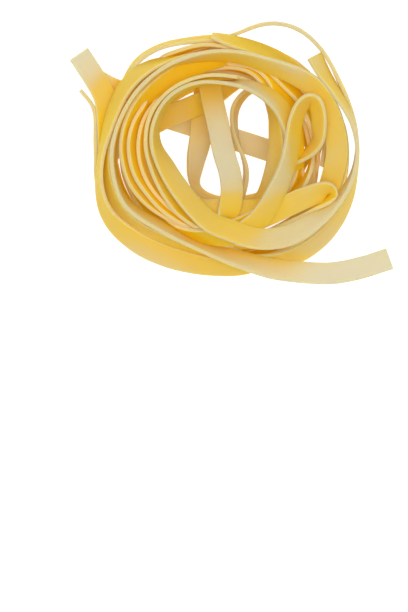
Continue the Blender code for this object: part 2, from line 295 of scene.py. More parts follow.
FAN_TURNS = {
    "fan_1": (LOOSE, on_ring(
        (-35, 20.5, 21, -10), (-10, 19.6, 22.5, -20), (15, 18.8, 24.4, -34), (33, 18.8, 25.6, -44),
        (43, 19.5, 26.4, -48), (50, 20.8, 27, -48), (58, 22.5, 27.4, -42), (66, 23.8, 27, -34),
        (78, 24.6, 25.4, -16), (95, 24.8, 24, 0), (120, 25.2, 23.8, 6), (140, 25.9, 25, 12),
        (156, 26.8, 27.4, 18), (168, 27.3, 29, 24), (180, 27.4, 29.4, 28), (197, 26.8, 29.1, 34),
        (210, 25.8, 28.6, 38), (225, 25.4, 27.8, 40), (245, 25.4, 26.4, 32), (265, 26.2, 24.6, 18),
        (282, 27.3, 22.8, 4),
    )),
    "fan_2": (LOOSE, on_ring(
        (-50, 22.5, 19, 0), (-20, 21.3, 20.8, -12), (10, 19.2, 22.6, -30), (30, 18.0, 24, -42),
        (45, 17.8, 25, -48), (56, 18.9, 25.8, -48), (64, 20.8, 26.2, -42), (73, 22.2, 25.4, -30),
        (90, 22.8, 23.6, -12), (120, 23, 23, 4), (140, 23.5, 24.2, 10), (156, 24.2, 26.8, 18),
        (168, 24.5, 28.4, 22), (180, 24.6, 28.8, 24), (193, 24.5, 28.6, 18), (205, 24.3, 28.2, 14),
        (215, 24.1, 27.6, 18), (235, 23.9, 26.2, 30), (255, 24.6, 24.2, 16), (268, 25.3, 22.8, 6),
    )),
    "fan_3": (LOOSE, on_ring(
        (5, 24.5, 22.3, -20), (30, 23.8, 24, -34), (46, 23.2, 25.6, -42), (56, 23.8, 26.6, -42),
        (66, 25.2, 27.2, -20), (76, 26.2, 27.2, 10), (86, 26.8, 27.2, 36), (95, 27.2, 27.2, 46),
        (120, 27.8, 27.6, 52), (145, 28.8, 28.4, 50), (160, 29.2, 28.9, 42), (172, 29.4, 29.1, 32),
        (183, 29.4, 29, 28), (200, 29.0, 28.4, 32), (215, 28.0, 27.6, 36), (232, 27.0, 26.4, 34),
        (250, 26.8, 24.8, 24), (270, 27.6, 22.8, 8), (295, 29, 20.6, 0),
    )),
}

LOOSE_ENDS = {
    "wide_end": (HELD, [
        (-43.4, 24.6, 25.4, 78), (-39.4, 18.6, 24.4, 78), (-35.9, 12.6, 23.4, 72), (-35.6, 9, 22.8, 66),
        (-35.5, 5, 22, 58), (-35.3, -1, 20.8, 46),
    ] + on_ring(
        (195, 33.8, 19.4, 28), (215, 31.4, 17.8, 12), (240, 29.2, 16.4, 5), (270, 28.4, 15.2, 0),
        (300, 29.4, 14.4, 0), (330, 30.4, 13.8, 0), (355, 30.6, 13.2, 0),
    )),
    "crossing_end": (LOOSE, [
        (-38.7, 17.2, 19.4, 84), (-34.3, 14.7, 19.2, 84), (-30.4, 13.2, 19.0, 80), (-26.6, 13.2, 18.8, 64),
        (-22.6, 15.4, 18.4, 38), (-17.6, 18.8, 17.6, 14), (-10, 22.2, 16.8, 4), (-1, 23.8, 15.8, 0),
        (8, 23, 15, 0),
    ]),
    "narrow_end": (LOOSE, [
        (-40.6, 16.4, 21.4, 0), (-38.5, 14.0, 21.6, 0), (-36.8, 11.6, 21.8, 0), (-36.2, 8.6, 21.8, -1),
        (-36.0, 4, 21.4, -2), (-36.0, -1, 20.8, -3),
    ] + on_ring(
        (192, 36.7, 19.8, -5), (202, 37.1, 18.6, -5), (213, 36.8, 17.4, -5), (228, 35.2, 16.4, -3),
        (250, 33.2, 15, 0), (280, 32.6, 13.6, 0), (310, 33.6, 12.6, 0), (340, 34, 12, 0),
        (370, 33.2, 11.4, 0),
    )),
}

# Strips that lie across the hollow. Both edges are given: x, y, height of one and then of the other. The
# last strip stands on edge and takes one edge and a lean, as the hoops do.
HOLLOW_STRIPS = {
    "near_strip": (HELD, [
        (-7.4, 19.5, 16.6, -1.3, 19.8, 16.2), (-6.9, 15.1, 17.8, -0.8, 15.2, 17.4),
        (-5.0, 6.8, 20.0, 1.2, 6.6, 19.8), (-3.6, -0.2, 22.0, 2.6, -0.8, 21.8),
        (-1.6, -6.6, 24.0, 4.4, -7.4, 23.6), (-0.8, -11, 25.6, 4.7, -11.4, 25.0),
        (-0.6, -14.8, 27.0, 4.1, -14.6, 26.0), (-0.8, -18.2, 28.0, 2.8, -17.6, 26.6),
        (-1.8, -20.8, 28.4, 0.6, -19.8, 26.0), (-4.4, -22.4, 27.4, -3.2, -21.8, 23.0),
    ]),
    "slim_strip": (SLACK, [
        (-7.6, 21.4, 9.2, -2.4, 22.2, 8.6), (-8.4, 14.6, 9.2, -3.0, 15.4, 8.6),
        (-9.0, 9.0, 9.4, -3.7, 8.8, 8.8), (-9.3, 3.7, 9.6, -4.4, 2.7, 8.8),
        (-9.8, -3.0, 9.6, -6.3, -2.0, 7.2), (-9.8, -8.2, 9.6, -7.4, -7.1, 5.8),
        (-8.6, -11.5, 9.6, -7.6, -9.9, 4.4), (-5.4, -13.9, 9.6, -5.2, -12.3, 4.0),
        (0, -15.1, 9.6, 0, -13.7, 3.8), (6, -14.7, 9.6, 5.8, -13.3, 3.8),
        (11, -13.1, 9.6, 10.6, -11.9, 3.8), (16, -10, 9.6, 15, -9.2, 3.8), (19.5, -4, 9.4, 18.5, -3.8, 3.6),
    ]),
    "upper_strip": (SLACK, [
        (-22, 9.4, 12.4, -20.6, 3.8, 11.4), (-17.6, 11.9, 12.6, -15.8, 6.4, 11.6),
        (-11.4, 14.2, 12.8, -9.0, 9.2, 11.2), (-5.4, 16.6, 12.8, -2.6, 12.9, 9.6),
        (1.4, 19.8, 12.6, 2.8, 17.4, 7.6), (7, 22.2, 12.2, 7.6, 21.2, 6.4),
    ]),
    "far_strip": (SLACK, [
        (-24, 15.6, 4.2, -25.6, 9.8, 3.4), (-14.5, 12.0, 3.0, -16.3, 6.1, 2.6),
        (-8.6, 10.2, 2.6, -10.4, 4.3, 2.2), (5.2, 5.7, 2.4, 3.6, -0.3, 2.0),
        (13.0, 3.2, 2.6, 11.4, -2.7, 2.2), (19.2, 1.1, 3.2, 17.4, -4.7, 2.6),
        (25, -1.3, 4, 23, -7.1, 3.4),
    ]),
    "curved_strip": (SLACK, [
        (14, 18.6, 15.5, 0), (8.5, 17.8, 15.3, 6), (4.6, 15.7, 15.2, 12), (2.0, 12.0, 15.1, 16),
        (1.7, 8.0, 15, 14), (2.6, 3.8, 15, 8), (4.3, -0.4, 15, 2), (5.9, -4.0, 15, -3),
        (6.3, -7.4, 15, -5), (5.6, -11.6, 15, -5), (3.6, -16.4, 15, 0), (-1, -21, 14.5, 0),
    ]),
}

# The ring in plan, one value for every 30 degrees: where its outer and its inner turns may reach.
OUTSIDE = (34.0, 32.4, 30.4, 28.9, 29.6, 32.4, 34.4, 33.4, 30.4, 31.2, 33.6, 34.6)
INSIDE = (17.4, 18.4, 19.6, 20.8, 21.6, 21.4, 20.6, 19.8, 19.6, 19.4, 18.8, 17.8)

# Turns wound by rule: start angle, sweep, place between the inside and the outside, first and last height,
# lean, and how much the height sways.
WALL_TURNS = (
    (300, 420, 0.97, 19.5, 14.5, -4, 0.5),
    (60, 400, 0.97, 14.0, 9.0, -3, 0.5),
    (170, 430, 0.95, 8.4, 6.6, 4, 0.25),
    (350, 290, 0.86, 19.5, 16.0, -4, 0.5),
    (100, 330, 0.84, 12.5, 7.5, 5, 0.5),
)
INNER_TURNS = (
    (330, 300, 0.72, 17.5, 13.5, 22, 0.5),
    (320, 310, 0.61, 11.0, 7.0, 24, 0.5),
    (330, 290, 0.44, 17.0, 13.5, 26, 0.5),
    (325, 300, 0.38, 9.5, 6.8, -6, 0.25),
    (340, 300, 0.08, 19.5, 15.5, 10, 0.5),
    (250, 380, 0.06, 12.5, 8.0, 8, 0.5),
    (10, 370, 0.04, 7.2, 6.6, 6, 0.2),
)
DEGREES_A_STATION = 22
SIDE_SWAY = 0.5
LEAN_SWAY = 6.0

# The ends of these turns are tucked towards the middle of the ring over this arc, by this share of its width.
TUCKED_ARC = 45
TUCK = 0.24


def outline(radii, angle):
    """The radius of a closed outline at an angle, from its evenly spaced values."""
    return np.interp(angle % 360, np.linspace(0, 360, len(radii) + 1), [*radii, radii[0]])


def wound_turns(prefix, rows, random):
    """Turns of the ring, each swaying a little in radius, height and lean."""
    turns = {}
    for number, (start, sweep, share, first, last, lean, height_sway) in enumerate(rows, 1):
        phase = random.uniform(0, 2 * math.pi, 3)
        count = int(sweep / DEGREES_A_STATION)
        stations = []
        for step in range(count + 1):
            run = step / count
            angle = start + sweep * run
            turned = math.radians(angle)
            sway = math.sin(turned + phase[0]) + 0.5 * math.sin(2 * turned + phase[1])
            inside, outside = outline(INSIDE, angle), outline(OUTSIDE, angle)
            near_end = max(0.0, 1 - min(run, 1 - run) * sweep / TUCKED_ARC)
            place = share - math.copysign(TUCK, share - 0.5) * near_end
            stations.append((
                angle,
                inside + (outside - inside) * place + SIDE_SWAY * sway,
                first + (last - first) * run + height_sway * math.sin(turned + phase[2]),
                lean + LEAN_SWAY * math.sin(2 * turned + phase[1]),
            ))
        turns[f"{prefix}_{number}"] = (FREE, on_ring(*stations))
    return turns


def all_groups(seed):
    """Every piece of the nest and its ribbons, in the order in which the random draws are made."""
    random = np.random.default_rng(seed)
    return {
        "front_hoops": FRONT_HOOPS,
        "outer_hoops": OUTER_HOOPS,
        "fan_turns": FAN_TURNS,
        "loose_ends": LOOSE_ENDS,
        "hollow_strips": HOLLOW_STRIPS,
        "wall_turns": wound_turns("wall", WALL_TURNS, random),
        "inner_turns": wound_turns("inner", INNER_TURNS, random),
    }


# ---- Winding: from stations to ribbons that lie on each other ----


def spaced(stations):
    """Stations STATION_STEP apart along a centripetal curve through the given ones."""
    points = np.array(stations, float)
    points = np.vstack([2 * points[0] - points[1], points, 2 * points[-1] - points[-2]])
    fine = []
    for p0, p1, p2, p3 in zip(points[:-3], points[1:-2], points[2:-1], points[3:], strict=True):
        t1 = max(np.linalg.norm((p1 - p0)[:3]), 1e-6) ** 0.5
        t2 = t1 + max(np.linalg.norm((p2 - p1)[:3]), 1e-6) ** 0.5
        t3 = t2 + max(np.linalg.norm((p3 - p2)[:3]), 1e-6) ** 0.5
        for t in np.linspace(t1, t2, FINE_SAMPLES, endpoint=False):
            a1 = ((t1 - t) * p0 + t * p1) / t1
            a2 = ((t2 - t) * p1 + (t - t1) * p2) / (t2 - t1)
            a3 = ((t3 - t) * p2 + (t - t2) * p3) / (t3 - t2)
            b1 = ((t2 - t) * a1 + t * a2) / t2
            b2 = ((t3 - t) * a2 + (t - t1) * a3) / (t3 - t1)
            fine.append(((t2 - t) * b1 + (t - t1) * b2) / (t2 - t1))
    fine = np.array(fine + [points[-2]])
    run = np.concatenate([[0], np.cumsum(np.linalg.norm(np.diff(fine[:, :3], axis=0), axis=1))])
    count = max(4, round(run[-1] / STATION_STEP))
    marks = np.linspace(0, run[-1], count + 1)
    return np.stack([np.interp(marks, run, column) for column in fine.T], axis=1)


def unit(vectors):
    return vectors / np.linalg.norm(vectors, axis=1)[:, None]


def along(vectors, directions):
    """The part of each vector that lies along its direction."""
    return (vectors * directions).sum(1)[:, None] * directions


class Winding:
    """All ribbons as rows of stations: their centres and the direction across each, in mm."""

    def __init__(self, groups, width, thickness):
        self.width = width
        self.thickness = thickness
        self.groups = []
        stations, lengths, freedom = [], [], []
        for group, ribbons in groups.items():
            for give, route in ribbons.values():
                row = spaced(route)
                self.groups.append(group)
                lengths.append(len(row))
                freedom.append(np.full(len(row), give))
                stations.append(row)
        starts = np.concatenate([[0], np.cumsum(lengths)])
        self.spans = [slice(a, b) for a, b in zip(starts[:-1], starts[1:], strict=True)]
        self.freedom = np.concatenate(freedom)
        self.ribbon = np.repeat(np.arange(len(lengths)), lengths)
        self.order = np.concatenate([np.arange(n) for n in lengths])
        total = starts[-1]
        self.before = np.arange(total) - (self.order > 0)
        self.after = np.arange(total) + (self.order < np.repeat(lengths, lengths) - 1)
        self.inner = (self.before < np.arange(total)) & (self.after > np.arange(total))
        self.centre, self.across = np.zeros((total, 3)), np.zeros((total, 3))
        for span, row in zip(self.spans, stations, strict=True):
            if row.shape[1] == 6:
                self.place_by_edges(span, row)
            else:
                self.place_by_lean(span, row)

    def smoothed(self, values, passes):
        for _ in range(passes):
            mean = 0.25 * values[self.before] + 0.5 * values + 0.25 * values[self.after]
            values = np.where(self.inner[:, None], mean, values)
        return values

    def tangent(self, points):
        return unit(points[self.after] - points[self.before])

    def place_by_edges(self, span, row):
        row = smooth_rows(row, 2)
        self.centre[span] = (row[:, :3] + row[:, 3:]) / 2
        across = row[:, :3] - row[:, 3:]
        tangent = unit(np.gradient(self.centre[span], axis=0))
        self.across[span] = unit(across - along(across, tangent))

    def place_by_lean(self, span, row):
        edge = smooth_rows(row[:, :3], 2)
        lean = np.radians(smooth_rows(row[:, 3:], 4))
        tangent = unit(np.gradient(edge, axis=0))
        up = np.array([[0.0, 0.0, 1.0]])
        upward = unit(up - along(np.repeat(up, len(edge), 0), tangent))
        right = unit(np.cross(tangent, up))
        self.across[span] = np.cos(lean) * upward + np.sin(lean) * right
        self.centre[span] = edge - self.across[span] * self.width / 2

    def near_pairs(self, reach):
        """Stations within reach of each other, of different ribbons or of different turns of one."""
        firsts, seconds = [], []
        for start in range(0, len(self.centre), BLOCK):
            block = self.centre[start:start + BLOCK, None, :]
            i, j = np.nonzero(((block - self.centre[None]) ** 2).sum(2) < reach ** 2)
            i = i + start
            between = abs(self.order[i] - self.order[j]) * STATION_STEP
            own = (self.ribbon[i] == self.ribbon[j]) & (between <= OWN_REACH)
            keep = (j > i) & ~own
            firsts.append(i[keep])
            seconds.append(j[keep])
        return np.concatenate(firsts), np.concatenate(seconds)

    def closest(self, i, j, half):
        """Where the lines across two stations come closest: how far along each, and the vector between."""
        u, v = self.across[i], self.across[j]
        gap = self.centre[i] - self.centre[j]
        cosine = (u * v).sum(1)
        on_u, on_v = (u * gap).sum(1), (v * gap).sum(1)
        spread = 1 - cosine ** 2
        a = np.where(spread > 1e-6, (cosine * on_v - on_u) / np.maximum(spread, 1e-6), 0)
        a = np.clip(a, -half, half)
        b = np.clip(cosine * a + on_v, -half, half)
        a = np.clip(cosine * b - on_u, -half, half)
        return a, b, gap + a[:, None] * u - b[:, None] * v

    def push_apart(self):
        """Ribbons start narrow and grow to full width while whatever touches is pushed and turned away."""
        target, target_across = self.centre.copy(), self.across.copy()
        full = (self.width - self.thickness) / 2
        apart = self.thickness + CLEARANCE
        pull = (HOME_PULL * (1 - FREEDOM_FROM_HOME * self.freedom))[:, None]
        for turn in range(PUSH_ROUNDS):
            half = full * min(1.0, START_WIDTH + (1 - START_WIDTH) * turn / GROW_ROUNDS)
            if turn % PAIR_ROUNDS == 0:
                pairs = self.near_pairs(2 * half + apart + PAIR_MARGIN)
            self.push_once(*pairs, half, full, apart)
            self.stay_on_floor(half)
            passes = 2 if turn < PUSH_ROUNDS - LAST_ROUNDS else 1
            moved = self.smoothed(self.centre - target, passes)
            self.centre = target + moved * (1 - pull)
            turned = self.smoothed(self.across - target_across, 2)
            across = target_across + turned * (1 - pull)
            self.across = unit(across - along(across, self.tangent(self.centre)))

    def push_once(self, i, j, half, full, apart):
        """Moves and turns the stations of every pair that is too close, each by its share."""
        a, b, between = self.closest(i, j, half)
        distance = np.linalg.norm(between, axis=1)
        touch = distance < apart
        i, j, a, b, between = i[touch], j[touch], a[touch], b[touch], between[touch]
        distance = np.maximum(distance[touch], 1e-4)
        push = between / distance[:, None] * (apart - distance)[:, None]
        share = (self.freedom[i] / (self.freedom[i] + self.freedom[j]))[:, None]
        move, twist = np.zeros_like(self.centre), np.zeros_like(self.centre)
        touches = np.zeros(len(self.centre))
        for stations, arm, part in ((i, a, push * share), (j, b, -push * (1 - share))):
            np.add.at(move, stations, part)
            np.add.at(twist, stations, part * arm[:, None])
            np.add.at(touches, stations, 1)
        calm = CALM / np.maximum(touches, 1)[:, None] ** CALM_POWER
        self.centre = self.centre + move * calm
        twist = twist * calm / (TWIST_GIVE * full ** 2)
        self.across = self.across + twist - along(twist, self.across)

    def stay_on_floor(self, half):
        rise = np.abs(self.across[:, 2])
        flat = np.sqrt(np.maximum(0, 1 - rise ** 2))
        lowest = self.centre[:, 2] - rise * half - flat * self.thickness / 2
        self.centre[:, 2] += np.maximum(0, -lowest)


def smooth_rows(rows, passes):
    for _ in range(passes):
        middle = 0.25 * rows[:-2] + 0.5 * rows[1:-1] + 0.25 * rows[2:]
        rows = np.vstack([rows[:1], middle, rows[-1:]])
    return rows


@lru_cache
def wound(width, thickness, seed):
    """The finished winding, worked out once for each width, thickness and seed."""
    winding = Winding(all_groups(seed), width, thickness)
    winding.push_apart()
    return winding


# ---- Geometry Nodes ----


class Tree:
    """A short way to add nodes and link them as they are made."""

    def __init__(self, tree):
        self.tree = tree

    def add(self, kind, inputs=None, **settings):
        node = self.tree.nodes.new(kind)
        for key, value in settings.items():
            setattr(node, key, value)
        for key, value in (inputs or {}).items():
            socket = node.inputs[key]
            if isinstance(value, bpy.types.NodeSocket):
                self.tree.links.new(value, socket)
            else:
                socket.default_value = value
        return node

    def math(self, operation, a, b=0.0):
        return self.add("ShaderNodeMath", {0: a, 1: b}, operation=operation).outputs[0]

    def vector(self, operation, a, b=None, output=0):
        inputs = {0: a} if b is None else {0: a, 1: b}
        return self.add("ShaderNodeVectorMath", inputs, operation=operation).outputs[output]

    def scaled(self, vector, factor):
        return self.add("ShaderNodeVectorMath", {0: vector, "Scale": factor}, operation="SCALE").outputs[0]

    def noise(self, place, scale, detail, roughness=0.5):
        inputs = {"Vector": place, "Scale": scale, "Detail": detail, "Roughness": roughness}
        return self.add("ShaderNodeTexNoise", inputs).outputs["Fac"]

    def blend(self, factor, first, second):
        inputs = {"Factor": factor, "A": first, "B": second}
        return self.add("ShaderNodeMix", inputs, data_type="RGBA").outputs["Result"]

    def store(self, geometry, name, value, kind="FLOAT"):
        inputs = {"Geometry": geometry, "Name": name, "Value": value}
        return self.add("GeometryNodeStoreNamedAttribute", inputs, data_type=kind, domain="POINT").outputs[0]

    def read(self, name, kind="FLOAT"):
        node = self.add("GeometryNodeInputNamedAttribute", {"Name": name}, data_type=kind)
        return node.outputs["Attribute"]


def new_geometry_tree(name, sockets):
    """A geometry tree with a Geometry input and output and the named inputs."""
    tree = bpy.data.node_groups.new(name, "GeometryNodeTree")
    tree.interface.new_socket("Geometry", in_out="INPUT", socket_type="NodeSocketGeometry")
    tree.interface.new_socket("Geometry", in_out="OUTPUT", socket_type="NodeSocketGeometry")
    for label, kind in sockets:
        tree.interface.new_socket(label, in_out="INPUT", socket_type=f"NodeSocket{kind}")
    source = tree.nodes.new("NodeGroupInput")
    return tree, Tree(tree), source.outputs


def finish_tree(tree, nodes, geometry, material):
    """Realises the instances, sets the material and shades smooth, then gives the result."""
    real = nodes.add("GeometryNodeRealizeInstances", {"Geometry": geometry}).outputs[0]
    smooth = nodes.add("GeometryNodeSetShadeSmooth", {"Geometry": real}).outputs[0]
    painted = nodes.add("GeometryNodeSetMaterial", {"Geometry": smooth, "Material": material}).outputs[0]
    nodes.add("NodeGroupOutput", {"Geometry": painted})
    return tree


def ribbon_tree():
    """Sweeps a flat strip with eased corners along the input's edges, which carry the direction across."""
    tree, nodes, given = new_geometry_tree("ribbon_sweep", (
        ("Width", "Float"),
        ("Thickness", "Float"),
        ("Edge Radius", "Float"),
        ("Station Length", "Float"),
        ("Unevenness", "Float"),
        ("Wave Size", "Float"),
        ("Seed", "Int"),
        ("Material", "Material"),
    ))
    curve = nodes.add("GeometryNodeMeshToCurve", {"Mesh": given["Geometry"]}).outputs[0]
    curve = nodes.add("GeometryNodeCurveSplineType", {"Curve": curve}, spline_type="CATMULL_ROM").outputs[0]
    curve = nodes.add(
        "GeometryNodeResampleCurve", {"Curve": curve, "Length": given["Station Length"]}, mode="LENGTH"
    ).outputs[0]
    tangent = nodes.add("GeometryNodeInputTangent").outputs[0]
    across = nodes.read("across", "FLOAT_VECTOR")
    lengthwise = nodes.scaled(tangent, nodes.vector("DOT_PRODUCT", across, tangent, "Value"))
    across = nodes.vector("NORMALIZE", nodes.vector("SUBTRACT", across, lengthwise))
    curve = nodes.add(
        "GeometryNodeSetCurveNormal", {"Curve": curve, "Normal": across}, mode="FREE"
    ).outputs[0]
    curve = nodes.store(curve, "tangent", tangent, "FLOAT_VECTOR")
    flat = nodes.vector("CROSS_PRODUCT", tangent, across)
    curve = nodes.store(curve, "flat", flat, "FLOAT_VECTOR")

    outline = nodes.add(
        "GeometryNodeCurvePrimitiveQuadrilateral", {"Width": given["Width"], "Height": given["Thickness"]}
    ).outputs[0]
    outline = nodes.add("GeometryNodeSubdivideCurve", {"Curve": outline, "Cuts": 3}).outputs[0]
    place = nodes.add("ShaderNodeSeparateXYZ", {0: nodes.add("GeometryNodeInputPosition").outputs[0]})
    side = nodes.math("DIVIDE", place.outputs["X"], nodes.math("MULTIPLY", given["Width"], 0.5))
    rise = nodes.math("DIVIDE", place.outputs["Y"], nodes.math("MULTIPLY", given["Thickness"], 0.5))
    reach = nodes.math("ADD", nodes.math("ABSOLUTE", side), nodes.math("ABSOLUTE", rise))
    corner = nodes.math("GREATER_THAN", reach, CORNER_REACH)
    outline = nodes.add(
        "GeometryNodeFilletCurve",
        {
            "Curve": outline,
            "Radius": nodes.math("MULTIPLY", corner, given["Edge Radius"]),
            "Count": nodes.math("MULTIPLY", corner, 2.0),
            "Limit Radius": True,
        },
        mode="POLY",
    ).outputs[0]
    outline = nodes.store(outline, "side", side)

    swept = nodes.add(
        "GeometryNodeCurveToMesh", {"Curve": curve, "Profile Curve": outline, "Fill Caps": True}
    ).outputs[0]
    seed_place = nodes.math("MULTIPLY", given["Seed"], SEED_STEP)
    offset = nodes.add("ShaderNodeCombineXYZ", {0: seed_place}).outputs[0]
    where = nodes.vector("ADD", nodes.add("GeometryNodeInputPosition").outputs[0], offset)
    wave_scale = nodes.math("DIVIDE", 1.0, given["Wave Size"])
    waves = nodes.noise(where, wave_scale, 2.0, 0.55)
    swell = nodes.math("MULTIPLY", nodes.math("SUBTRACT", waves, 0.5), given["Unevenness"])
    outward = nodes.add("GeometryNodeInputNormal").outputs[0]
    swept = nodes.add(
        "GeometryNodeSetPosition", {"Geometry": swept, "Offset": nodes.scaled(outward, swell)}
    ).outputs[0]
    return finish_tree(tree, nodes, swept, given["Material"])


def openness_tree():
    """Stores on each point how much of the space in front of it, and behind the ribbon there, is free."""
    tree, nodes, given = new_geometry_tree("openness", (
        ("Nest", "Object"),
        ("Reach", "Float"),
        ("Rays", "Int"),
        ("Lift", "Float"),
        ("Thickness", "Float"),
        ("Softness", "Int"),
        ("Material", "Material"),
    ))
    nest = nodes.add("GeometryNodeObjectInfo", {"Object": given["Nest"]}).outputs["Geometry"]
    flat = nodes.read("flat", "FLOAT_VECTOR")
    surface = nodes.add("GeometryNodeInputNormal").outputs[0]
    outward = nodes.scaled(flat, nodes.math("SIGN", nodes.vector("DOT_PRODUCT", surface, flat, "Value")))
    place = nodes.add("GeometryNodeInputPosition").outputs[0]
    facing = nodes.add("FunctionNodeAlignRotationToVector", {"Vector": outward}, axis="Z").outputs[0]

    opening = tree.nodes.new("GeometryNodeRepeatInput")
    closing = tree.nodes.new("GeometryNodeRepeatOutput")
    opening.pair_with_output(closing)
    tree.links.new(given["Rays"], opening.inputs["Iterations"])
    blank = nodes.store(given["Geometry"], "before", 0.0)
    tree.links.new(nodes.store(blank, "behind", 0.0), opening.inputs["Geometry"])

    share = nodes.math("DIVIDE", nodes.math("ADD", opening.outputs["Iteration"], 0.5), given["Rays"])
    swing = nodes.math("MULTIPLY", opening.outputs["Iteration"], math.pi * (3 - math.sqrt(5)))
    radius = nodes.math("SQRT", share)
    ray = nodes.add("ShaderNodeCombineXYZ", {
        0: nodes.math("MULTIPLY", radius, nodes.math("COSINE", swing)),
        1: nodes.math("MULTIPLY", radius, nodes.math("SINE", swing)),
        2: nodes.math("SQRT", nodes.math("SUBTRACT", 1.0, share)),
    }).outputs[0]
    ray = nodes.add("FunctionNodeRotateVector", {"Vector": ray, "Rotation": facing}).outputs[0]
    through = nodes.math("ADD", given["Thickness"], given["Lift"])
    geometry = opening.outputs["Geometry"]
    for name, way, start in (("before", 1.0, given["Lift"]), ("behind", -1.0, through)):
        cast = nodes.add("GeometryNodeRaycast", {
            "Target Geometry": nest,
            "Source Position": nodes.vector("ADD", place, nodes.scaled(nodes.scaled(outward, start), way)),
            "Ray Direction": nodes.scaled(ray, way),
            "Ray Length": given["Reach"],
        })
        far = nodes.math("DIVIDE", cast.outputs["Hit Distance"], given["Reach"])
        free = nodes.add(
            "GeometryNodeSwitch",
            {"Switch": cast.outputs["Is Hit"], "False": 1.0, "True": far},
            input_type="FLOAT",
        ).outputs[0]
        so_far = nodes.math("ADD", nodes.read(name), nodes.math("DIVIDE", free, given["Rays"]))
        geometry = nodes.store(geometry, name, so_far)
    tree.links.new(geometry, closing.inputs["Geometry"])
    measured = closing.outputs["Geometry"]
    for name in ("before", "behind"):
        inputs = {"Value": nodes.read(name), "Iterations": given["Softness"]}
        measured = nodes.store(measured, name, nodes.add("GeometryNodeBlurAttribute", inputs).outputs[0])
    return finish_tree(tree, nodes, measured, given["Material"])


def run_tree(piece, tree, values):
    """Runs the tree with its inputs set by identifier, keeps the result as a mesh and drops the modifier."""
    modifier = piece.modifiers.new(tree.name, "NODES")
    modifier.node_group = tree
    for socket in tree.interface.items_tree:
        if socket.item_type == "SOCKET" and socket.in_out == "INPUT" and socket.name in values:
            modifier[socket.identifier] = values[socket.name]
    graph = bpy.context.evaluated_depsgraph_get()
    mesh = bpy.data.meshes.new_from_object(piece.evaluated_get(graph), depsgraph=graph)
    piece.modifiers.remove(modifier)
    old = piece.data
    piece.data = mesh
    mesh.name = piece.name
    bpy.data.meshes.remove(old)


# ---- Materials ----


def new_material(name):
    material = bpy.data.materials.new(name)
    material.use_nodes = True
    material.node_tree.nodes.clear()
    return material, Tree(material.node_tree)


def pasta_material(finish):
    """Dry egg dough, pale and floury where it lies open, with painted shade that turns it a deeper gold where
    ribbons close it in, and a painted glow there for light that comes through.
    """
    name = "egg_pasta"
    if name in bpy.data.materials:
        return bpy.data.materials[name]
    material, nodes = new_material(name)
    place = nodes.add("ShaderNodeTexCoord").outputs["Object"]
    before, behind, side = (
        nodes.add("ShaderNodeAttribute", attribute_name=stored).outputs["Fac"]
        for stored in ("before", "behind", "side")
    )
    tangent = nodes.add("ShaderNodeAttribute", attribute_name="tangent").outputs["Vector"]
    facing = nodes.add("ShaderNodeNewGeometry").outputs["Normal"]
    clouds = nodes.noise(place, CLOUD_SCALE, 3.0, 0.55)
    grain = nodes.noise(place, GRAIN_SCALE, 4.0, 0.65)

    sway = nodes.math("MULTIPLY", nodes.math("SUBTRACT", clouds, 0.5), TONE_SWAY)
    front = nodes.math("MULTIPLY", before, BEFORE_SHARE)
    openness = nodes.math("ADD", front, nodes.math("MULTIPLY", behind, BEHIND_SHARE))
    # Painted light: where the face is closed in but the space behind the ribbon is open, the tone is lifted
    # as if lit through.
    closed_in = nodes.math("SUBTRACT", 1.0, before)
    through = nodes.math("MULTIPLY", nodes.math("MULTIPLY", behind, closed_in), PAINTED_BACKLIGHT_SHARE)
    openness = nodes.math("ADD", nodes.math("ADD", openness, through), sway)
    # Painted shade: the colour runs from the open dough to deeper golds as the face is closed in.
    ramp = nodes.add("ShaderNodeValToRGB", {"Fac": openness})
    paint_ramp(ramp.color_ramp, PAINTED_SHADE_STOPS, (finish.deep, finish.inner, finish.middle, finish.open))
    # Painted glow: a golden emission that grows as the face is closed in, standing for light that comes
    # through.
    painted_glow = nodes.add("ShaderNodeMapRange", {
        "Value": openness,
        "From Min": PAINTED_GLOW_FROM,
        "From Max": PAINTED_GLOW_FULL,
        "To Min": 0.0,
        "To Max": finish.painted_glow,
    }).outputs[0]

    edge = nodes.add(
        "ShaderNodeMapRange",
        {"Value": nodes.math("ABSOLUTE", side), "From Min": EDGE_FROM, "From Max": EDGE_TO},
        interpolation_type="SMOOTHSTEP",
    ).outputs[0]
    end = nodes.math("ABSOLUTE", nodes.vector("DOT_PRODUCT", facing, tangent, "Value"))
    end = nodes.math("GREATER_THAN", end, END_FACING)
    cut = nodes.math("MAXIMUM", nodes.math("MULTIPLY", edge, EDGE_SHARE), end)
    pale = (*finish.cut, 1.0)
    colour = nodes.blend(cut, ramp.outputs["Color"], pale)
    painted_glow_colour = nodes.blend(cut, (*finish.painted_glow_colour, 1.0), pale)

    height = nodes.math("ADD", nodes.math("MULTIPLY", grain, 0.5), nodes.math("MULTIPLY", clouds, 0.5))
    bump = nodes.add("ShaderNodeBump", {"Height": height, "Strength": 0.25, "Distance": 0.0001}).outputs[0]
    low, high = finish.roughness - ROUGHNESS_SWAY, finish.roughness + ROUGHNESS_SWAY
    rough = nodes.add("ShaderNodeMapRange", {"Value": clouds, "To Min": low, "To Max": high}).outputs[0]
    shader = nodes.add("ShaderNodeBsdfPrincipled", {
        "Base Color": colour,
        "Roughness": rough,
        "Normal": bump,
        "IOR": 1.45,
        "Specular IOR Level": 0.08,
        "Subsurface Weight": finish.glow,
        "Subsurface Radius": SCATTER,
        "Subsurface Scale": SCATTER_LENGTH,
        "Emission Color": painted_glow_colour,
        "Emission Strength": painted_glow,
    }).outputs[0]
    nodes.add("ShaderNodeOutputMaterial", {"Surface": shader})
    return material


def paint_ramp(ramp, positions, colours):
    while len(ramp.elements) < len(positions):
        ramp.elements.new(1.0)
    for element, position, colour in zip(ramp.elements, positions, colours, strict=True):
        element.position = position
        element.color = (*colour, 1.0)


